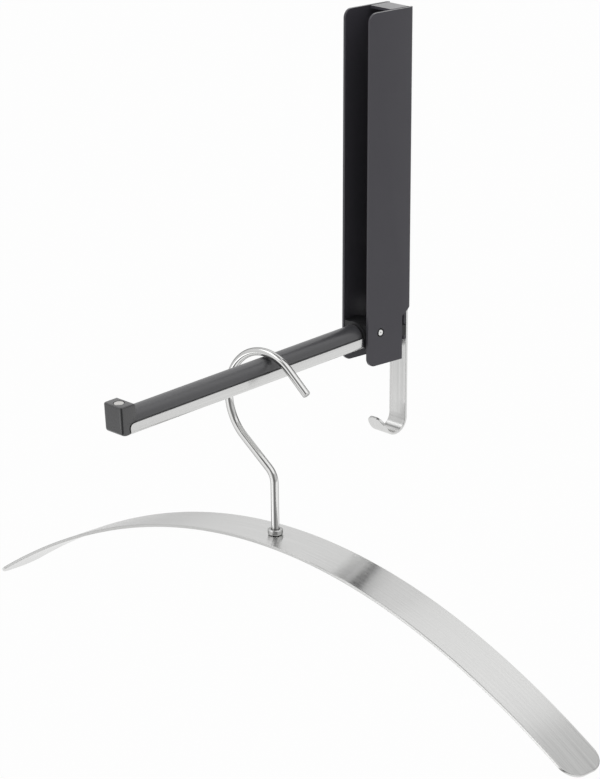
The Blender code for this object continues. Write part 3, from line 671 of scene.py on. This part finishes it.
class WALLHOOK_OT_channel(Operator):
    """Painted wall channel with softly rounded sheet edges"""

    bl_idname = "wallhook.channel"
    bl_label = "Wall Channel"

    def execute(self, context):
        bracket = context.scene.bracket_sizes
        channel = piece("channel_sheet", solid_copy("wall_channel"), "wall_bracket", "black_paint",
                        powder_coated_steel(), "wall_channel")
        hole = bore(bracket.pin_hole, -bracket.pin_hole_run, bracket.pin_hole_run)
        drill(channel, hole[..., ALONG_X] + PIVOT)
        round_edges(channel, bracket.sheet_edge, segments=3)
        return {"FINISHED"}


class WALLHOOK_OT_strip(Operator):
    """Brushed strip with its J hook, screw holes and rivet seats"""

    bl_idname = "wallhook.strip"
    bl_label = "J Strip"

    def execute(self, context):
        bracket = context.scene.bracket_sizes
        low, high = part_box("hook_strip")
        half = (high.x - low.x) / 2
        sheet_half = bracket.strip_sheet / 2
        radius = bracket.strip_bend - sheet_half
        straight = high.z - low.z - bracket.strip_bend
        bend = radius * (pi / 2 + bracket.strip_leg_angle)
        total = straight + bend + bracket.strip_leg

        def place(run, across, depth):
            """Straight down, round the J at its radius, then straight on at the angle reached there."""
            angle = np.clip(run - straight, 0.0, bend) / radius
            rest = np.clip(run - straight - bend, 0.0, None)
            y = -sheet_half - radius * (1 - np.cos(angle)) - rest * np.sin(angle) - depth * np.cos(angle)
            z = high.z - np.minimum(run, straight) - radius * np.sin(angle) - rest * np.cos(angle)
            return np.stack([across, y, z + depth * np.sin(angle)], -1)

        side = strip_side(total, half, bracket.strip_top_corner, bracket.strip_tip_corner, STRIP_STEPS)
        mesh = bent_strip(side, place, sheet_half, -sheet_half, bracket.strip_edge)
        strip = piece("j_strip", mesh, "wall_bracket", "brushed_strip", brushed_stainless(), "hook_strip")
        drill(strip, *self.holes(bracket))
        round_edges(strip, bracket.hole_edge)
        return {"FINISHED"}

    @staticmethod
    def holes(bracket):
        """Cylinders along Y for every hole and rivet seat, from behind the wall plane to their depths."""
        gap, behind = bracket.fit_gap, bracket.strip_sheet
        through = 3 * bracket.strip_sheet
        shank = bracket.rivet_shank / 2 + gap
        seat = shank + bracket.rivet_tail_rim
        found = [(bracket.screw_hole / 2, through, z) for z in (bracket.upper_screw, bracket.lower_screw)]
        for node in RIVETS:
            low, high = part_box(node)
            middle = (low.z + high.z) / 2
            found += [(shank, through, middle), (seat, bracket.rivet_tail_depth + gap, middle)]
        return [bore(radius, behind, -depth)[..., ALONG_Y] + [0.0, 0.0, height]
                for radius, depth, height in found]


class WALLHOOK_OT_rivets(Operator):
    """Rivets between strip and channel"""

    bl_idname = "wallhook.rivets"
    bl_label = "Strip Rivets"

    def execute(self, context):
        bracket = context.scene.bracket_sizes
        shank = bracket.rivet_shank / 2
        tail, depth = shank + bracket.rivet_tail_rim, bracket.rivet_tail_depth
        dome = np.linspace(pi / 2 - POLE_ANGLE, 0.0, 12)
        for node in RIVETS:
            low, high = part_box(node)
            head = (high.x - low.x) / 2
            front = -low.y
            seat = front - bracket.rivet_head
            crown = np.stack([head * np.cos(dome), seat + (front - seat) * np.sin(dome)], -1)
            profile = np.concatenate([crown, [(shank, seat), (shank, depth), (tail, depth), (tail, 0.0)]])
            rings = turned(profile)[..., ALONG_Y] * [1.0, -1.0, 1.0]
            rings += [0.0, 0.0, (low.z + high.z) / 2]
            piece(node.replace("strip_", "bright_"), skin(rings), "wall_bracket", "bright_steel",
                  polished_stainless(), node)
        return {"FINISHED"}


class WALLHOOK_OT_pivot_pin(Operator):
    """Turned pivot pin with chamfered, centre-marked ends"""

    bl_idname = "wallhook.pivot_pin"
    bl_label = "Pivot Pin"

    def execute(self, context):
        bracket = context.scene.bracket_sizes
        low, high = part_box("pivot_pin")
        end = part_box("wall_channel")[1].x + bracket.pin_proud
        radius = (high.z - low.z) / 2 - bracket.pin_play
        dimple, chamfer = bracket.pin_dimple, bracket.pin_chamfer
        half = np.array([(POLE_RADIUS, end - dimple), (dimple, end), (radius - chamfer, end),
                         (radius, end - chamfer)])
        profile = np.concatenate([half, half[::-1] * [1.0, -1.0]])
        rings = turned(profile)[..., ALONG_X] + PIVOT
        pin = piece("turned_pin", skin(rings), "wall_bracket", "bright_steel", polished_stainless(),
                    "pivot_pin")
        round_edges(pin, bracket.pin_edge, limit=30.0)
        return {"FINISHED"}


class WALLHOOK_OT_hinge_block(Operator):
    """Moulded hinge block with its collar"""

    bl_idname = "wallhook.hinge_block"
    bl_label = "Hinge Block"

    def execute(self, context):
        block = piece("moulded_hinge", solid_copy("hinge_block"), "folding_arm", "black_plastic",
                      filled_nylon(), "hinge_block")
        round_edges(block, context.scene.arm_sizes.moulding_edge)
        return {"FINISHED"}


class WALLHOOK_OT_arm(Operator):
    """Brushed U profile and half-round cover of the arm"""

    bl_idname = "wallhook.arm"
    bl_label = "Folding Arm"

    def execute(self, context):
        self.profile(context.scene.arm_sizes)
        self.cover(context.scene.arm_sizes)
        return {"FINISHED"}

    @staticmethod
    def profile(arm):
        """U outline carried along the arm, with side walls clipped by a quarter circle at the outer end."""
        half, low, high = arm.profile_half, arm.profile_low, arm.profile_high
        inner, floor = half - arm.profile_sheet, low + arm.profile_sheet
        bend, rim = arm.profile_bend, arm.profile_rim
        inner_bend = bend - arm.profile_sheet
        outline = filleted([
            (-half, high, rim), (-half, low, bend), (half, low, bend), (half, high, rim),
            (inner, high, rim), (inner, floor, inner_bend), (-inner, floor, inner_bend), (-inner, high, rim),
        ])
        end, corner = arm.profile_end, arm.profile_corner
        stations = np.concatenate([np.linspace(arm.profile_start, end - corner, ARM_STEPS),
                                   end - end_steps(corner, 12)[-2::-1]])
        rings = swept(outline, stations)
        limit = high - corner + arc_rise(end - stations, corner)
        rings[..., 2] = np.minimum(rings[..., 2], limit[:, None])
        steel = piece("arm_steel", skin(arm_place(rings, arm)), "folding_arm", "brushed_strip",
                      brushed_stainless(), "arm_profile")
        round_edges(steel, rim, limit=60.0)

    @staticmethod
    def cover(arm):
        """Half-round outline with straight skirts, a shadow groove at the steel's edge and an open bore,
        carried along the arm."""
        outer, inner = arm.cover_radius, arm.cover_radius - arm.cover_wall
        root = outer - arm.groove_depth
        foot, steel = arm.cover_foot, arm.profile_high
        side = np.array([(outer, foot), (outer, steel - arm.groove_depth), (root, steel),
                         (root, steel + arm.groove_height), (outer, steel + arm.groove_height)])
        angle = np.linspace(0.0, pi, ARCH_STEPS)
        arch = np.stack([np.cos(angle), np.sin(angle)], -1)
        axis = np.array([0.0, arm.cover_axis])
        outline = np.concatenate([side, axis + outer * arch, side[::-1] * [-1.0, 1.0],
                                  [(-inner, foot)], axis + inner * arch[::-1], [(inner, foot)]])
        rings = swept(outline, np.linspace(arm.cover_start, arm.cover_end, ARM_STEPS))
        cover = piece("half_round_cover", skin(arm_place(rings, arm)), "folding_arm", "black_plastic",
                      extruded_abs(), "arm_cover")
        round_edges(cover, arm.moulding_edge, limit=60.0)


class WALLHOOK_OT_end_cap(Operator):
    """Square end cap of the arm and its magnet"""

    bl_idname = "wallhook.end_cap"
    bl_label = "End Cap and Magnet"

    def execute(self, context):
        arm = context.scene.arm_sizes
        low, high = arm_box("magnet", arm)
        radius = (high[0] - low[0]) / 2
        middle = [0.0, (low[1] + high[1]) / 2, 0.0]
        cap, top = self.cap(arm)
        reach = top + arm.profile_corner + arm.cap_gap
        pocket = bore(radius + arm.cap_gap, reach, low[2] - arm.cap_gap, ROUND_STEPS)
        drill(cap, arm_place(pocket + middle, arm))
        edge = arm.magnet_edge
        bend = quarter(7)
        rim = np.stack([radius - edge + edge * np.sin(bend), high[2] - edge + edge * np.cos(bend)], -1)
        disc = turned(np.concatenate([rim, [(radius, low[2])]])) + middle
        piece("plated_disc", skin(arm_place(disc, arm)), "folding_arm", "bright_steel", nickel_plate(),
              "magnet")
        return {"FINISHED"}

    @staticmethod
    def cap(arm):
        """The cap without its pocket, and the height of its top. It is a stack of rounded rectangles: below
        the profile's edge the inner side follows the profile's rounded end, and the other sides draw in on
        quarter circles at foot and top."""
        low, high = arm_box("end_cap", arm)
        bottom, top = low[2], high[2]
        corner, edge, foot = arm.profile_corner + arm.cap_gap, arm.cap_edge, arm.cap_foot
        seat, inner_end = arm.profile_high + arm.cap_gap, arm.profile_end + arm.cap_gap
        level = np.concatenate([bottom + end_steps(foot, 12), seat - corner + corner * np.sin(quarter(12)),
                                [seat + arm.cap_rim], top - end_steps(edge, 7)[::-1]])
        draw = edge - arc_rise(np.minimum(level - bottom, top - level), edge)
        outer = high[1] - np.maximum(draw, foot - arc_rise(level - bottom, foot))
        behind = inner_end - corner + arc_rise(seat - level, corner)
        inner = np.where(level > seat, arm.cover_end + arm.cap_gap, behind) + draw
        half = high[0] + arm.cap_spare - draw
        rim, bend = arm.cap_rim, arm.cap_round
        rings = np.stack([filleted([(w, near, rim), (w, far, bend), (-w, far, bend), (-w, near, rim)], 9)
                          for w, near, far in zip(half, inner, outer)])
        points = np.stack(np.broadcast_arrays(rings[..., 0], rings[..., 1], level[:, None]), -1)
        cap = piece("square_cap", skin(arm_place(points, arm)), "folding_arm", "black_plastic",
                    moulded_abs(), "end_cap")
        return cap, top


class WALLHOOK_OT_hanger_hook(Operator):
    """Hook of the hanger: bent wire with a peened end, collar and washer"""

    bl_idname = "wallhook.hanger_hook"
    bl_label = "Hanger Hook"

    def execute(self, context):
        hanger = context.scene.hanger_sizes
        gap = hanger.fit_gap
        below = -hanger.blade_sheet - gap
        washer_foot = below - hanger.washer_height
        self.wire(hanger, washer_foot - gap)
        self.ring("hook_ring", "hook_collar", hanger.collar_wall, gap, gap + hanger.collar_height,
                  hanger.collar_edge, hanger)
        self.ring("flat_washer", "hook_washer", hanger.washer_wall, washer_foot, below, hanger.washer_edge,
                  hanger)
        return {"FINISHED"}

    @staticmethod
    def wire(hanger, peen_top):
        """Tube round a centreline whose heading changes evenly along each bend: the heading is a broken line
        over the run, eased at its corners, and the centreline is the sum of its small steps."""
        radius, head = hanger.wire / 2, hanger.peen_height
        foot = peen_top - head
        slope_turn, tip_turn = hanger.stem_bend, hanger.stem_bend - hanger.crook
        runs = np.cumsum([hanger.stem - foot, hanger.stem_bend * hanger.stem_bend_radius, hanger.slope,
                          hanger.crook * hanger.crook_radius, hanger.tip])
        turns = pi / 2 + np.array([0.0, slope_turn, slope_turn, tip_turn, tip_turn])
        total = runs[-1]
        fine = np.linspace(0.0, total, FINE_STEPS)
        step = fine[1] - fine[0]
        heading = np.interp(fine, np.concatenate([[0.0], runs]), np.concatenate([[pi / 2], turns]))
        window = max(3, int(hanger.bend_ease / step) | 1)
        padded = np.pad(heading, window // 2, mode="edge")
        eased = np.convolve(padded, np.ones(window) / window, mode="valid")
        middle = (eased[1:] + eased[:-1]) / 2
        x = np.concatenate([[0.0], np.cumsum(np.cos(middle))]) * step
        z = np.concatenate([[0.0], np.cumsum(np.sin(middle))]) * step + foot

        rim, edge = radius + hanger.peen_rim, hanger.tip_edge
        clear = 0.2 * MM  # distance of the plain wire from its shaped ends
        peen_run = np.array([0.0, 0.35 * head, 0.55 * head, head - ARRIS, head, head])
        peen_radius = np.array([radius, rim - hanger.peen_edge, rim, rim, rim - ARRIS, radius])
        plain_run = np.linspace(head + clear, total - edge - clear, WIRE_STEPS)
        tip_run = total - end_steps(edge, 7)[::-1]
        tip_radius = radius - edge + arc_rise(total - tip_run, edge)
        run = np.concatenate([peen_run, plain_run, tip_run])
        radii = np.concatenate([peen_radius, np.full(len(plain_run), radius), tip_radius])
        centre = np.stack([np.interp(run, fine, x), 0.0 * run, np.interp(run, fine, z)], -1)
        heading_at = np.interp(run, fine, eased)
        side = np.stack([-np.sin(heading_at), 0.0 * run, np.cos(heading_at)], -1)
        angle = np.linspace(0.0, 2 * pi, WIRE_ROUND_STEPS, endpoint=False)[:, None]
        spokes = side[:, None] * np.cos(angle) + np.array([0.0, 1.0, 0.0]) * np.sin(angle)
        rings = centre[:, None] + radii[:, None, None] * spokes
        piece("bent_wire", skin(hanger_place(rings, hanger)), "hanger_hook", "bright_steel",
              polished_stainless(), "hook_wire")

    @staticmethod
    def ring(name, node, wall, low, high, edge, hanger):
        """Turned ring on the stem with rounded outer edges."""
        inner = hanger.wire / 2 + hanger.fit_gap
        outer = inner + wall
        rings = turned(filleted([(inner, high, ARRIS), (outer, high, edge), (outer, low, edge),
                                 (inner, low, ARRIS)]))
        piece(name, skin(hanger_place(rings, hanger), looped=True), "hanger_hook", "bright_steel",
              polished_stainless(), node)


class WALLHOOK_OT_hanger_blade(Operator):
    """Brushed blade of the hanger: a strip on a parabola"""

    bl_idname = "wallhook.hanger_blade"
    bl_label = "Hanger Blade"

    def execute(self, context):
        hanger = context.scene.hanger_sizes
        half, corner = hanger.blade_width / 2, hanger.blade_corner
        span, sag = hanger.half_span, hanger.sag
        fine = np.linspace(-span, span, FINE_STEPS)
        arc = run_length(np.stack([fine, -sag * (fine / span) ** 2], -1))

        def place(run, across, depth):
            """On the parabola at the run, and out along its normal by the depth."""
            x = np.interp(run, arc, fine)
            slope = -2 * sag * x / span ** 2
            steep = np.hypot(1.0, slope)
            z = -sag * (x / span) ** 2 + depth / steep
            return hanger_place(np.stack([x - depth * slope / steep, across, z], -1), hanger)

        side = strip_side(arc[-1], half, corner, corner, BLADE_STEPS)
        mesh = bent_strip(side, place, 0.0, -hanger.blade_sheet, hanger.blade_edge)
        blade = piece("bent_blade", mesh, "hanger_shoulders", "brushed_strip", brushed_stainless(),
                      "hanger_blade")
        hole = bore(hanger.wire / 2 + hanger.fit_gap, hanger.hole_run, -hanger.hole_run)
        drill(blade, hanger_place(hole, hanger))
        round_edges(blade, hanger.hole_edge)
        return {"FINISHED"}


class WALLHOOK_OT_stage(Operator):
    """Floor, light and camera"""

    bl_idname = "wallhook.stage"
    bl_label = "Stage"

    def execute(self, context):
        scene = context.scene
        for build in (self.floor, self.world, self.lamp, self.camera):
            build(scene, scene.stage_sizes)
        scene.view_settings.view_transform = "Standard"
        return {"FINISHED"}

    @staticmethod
    def floor(scene, stage):
        """Flat square far below the hook, from its front edge to the back."""
        half, front, height = stage.floor_side / 2, stage.floor_front, stage.floor_height
        back = front + stage.floor_side
        corners = [(-half, front, height), (half, front, height), (half, back, height), (-half, back, height)]
        mesh = bpy.data.meshes.new("floor")
        mesh.from_pydata(corners, [], [(0, 1, 2, 3)])
        mesh.materials.append(pale_floor())
        item = bpy.data.objects.new("floor", mesh)
        scene.collection.objects.link(item)

    @staticmethod
    def world(scene, stage):
        """Studio: light panels in a dark room. Each of them is bright about its own direction and fades into
        the room, all of them are dimmer at the horizon, and the camera sees white."""
        world = bpy.data.worlds.new("studio")
        scene.world = world
        world.use_nodes = True
        tree = world.node_tree
        tree.nodes.clear()
        place = add_node(tree, "TexCoord").outputs["Generated"]
        level = stage.room
        for centre, start, end, glow in PANELS:
            facing = add_node(tree, "VectorMath", operation="DOT_PRODUCT", _0=place,
                              _1=Vector(centre).normalized())
            light = add_node(tree, "MapRange", interpolation_type="SMOOTHSTEP", _0=facing.outputs["Value"],
                             _1=start, _2=end, _3=stage.room, _4=glow)
            level = add_node(tree, "Math", operation="MAXIMUM", _0=level, _1=light)
        height = add_node(tree, "SeparateXYZ", Vector=place).outputs["Z"]
        rise = add_node(tree, "Math", operation="ABSOLUTE", _0=height)
        horizon = add_node(tree, "MapRange", interpolation_type="SMOOTHSTEP", _0=rise, _1=0.0,
                           _2=stage.horizon_rise, _3=stage.horizon, _4=1.0)
        level = add_node(tree, "Math", operation="MULTIPLY", _0=level, _1=horizon)
        seen = add_node(tree, "LightPath").outputs["Is Camera Ray"]
        level = add_node(tree, "Mix", data_type="FLOAT", _0=seen, _2=level, _3=1.0)
        shine = add_node(tree, "Background", Color=(1.0, 1.0, 1.0, 1.0), Strength=level)
        add_node(tree, "OutputWorld", Surface=shine)

    @staticmethod
    def lamp(scene, stage):
        """Large soft light above and to the left."""
        data = bpy.data.lights.new("overhead", "AREA")
        data.shape = "RECTANGLE"
        data.size, data.size_y = stage.key_size
        data.energy = stage.key
        lamp = bpy.data.objects.new("overhead", data)
        lamp.location = stage.key_place
        aim = Vector(stage.key_aim) - Vector(stage.key_place)
        lamp.rotation_euler = aim.to_track_quat("-Z", "Y").to_euler()
        scene.collection.objects.link(lamp)

    @staticmethod
    def camera(scene, stage):
        """Camera at the photograph's place and angle."""
        data = bpy.data.cameras.new("camera")
        data.lens = stage.lens
        data.sensor_width = stage.sensor
        camera = bpy.data.objects.new("camera", data)
        camera.location = stage.camera
        camera.rotation_euler = (pi / 2 - stage.pitch, 0.0, stage.azimuth)
        scene.collection.objects.link(camera)
        scene.camera = camera


class WALLHOOK_PT_panel(Panel):
    """Steps of the wall hook, in order"""

    bl_label = "Wall Hook"
    bl_idname = "WALLHOOK_PT_panel"
    bl_space_type = "VIEW_3D"
    bl_region_type = "UI"
    bl_category = "Wall Hook"

    def draw(self, context):
        for step in STEPS:
            self.layout.operator(step.bl_idname)


GROUPS = {
    "bracket_sizes": BracketSizes,
    "arm_sizes": ArmSizes,
    "hanger_sizes": HangerSizes,
    "hook_finishes": Finishes,
    "stage_sizes": StageSizes,
}

STEPS = (
    WALLHOOK_OT_channel, WALLHOOK_OT_strip, WALLHOOK_OT_rivets, WALLHOOK_OT_pivot_pin,
    WALLHOOK_OT_hinge_block, WALLHOOK_OT_arm, WALLHOOK_OT_end_cap, WALLHOOK_OT_hanger_hook,
    WALLHOOK_OT_hanger_blade, WALLHOOK_OT_stage,
)

CLASSES = (*GROUPS.values(), *STEPS, WALLHOOK_PT_panel)


def register():
    for cls in CLASSES:
        bpy.utils.register_class(cls)
    for name, group in GROUPS.items():
        setattr(bpy.types.Scene, name, PointerProperty(type=group))


def unregister():
    for name in GROUPS:
        delattr(bpy.types.Scene, name)
    for cls in reversed(CLASSES):
        bpy.utils.unregister_class(cls)


def main():
    """Runs every step in order."""
    register()
    for step in STEPS:
        group, name = step.bl_idname.split(".")
        getattr(getattr(bpy.ops, group), name)()


if __name__ == "__main__":
    main()
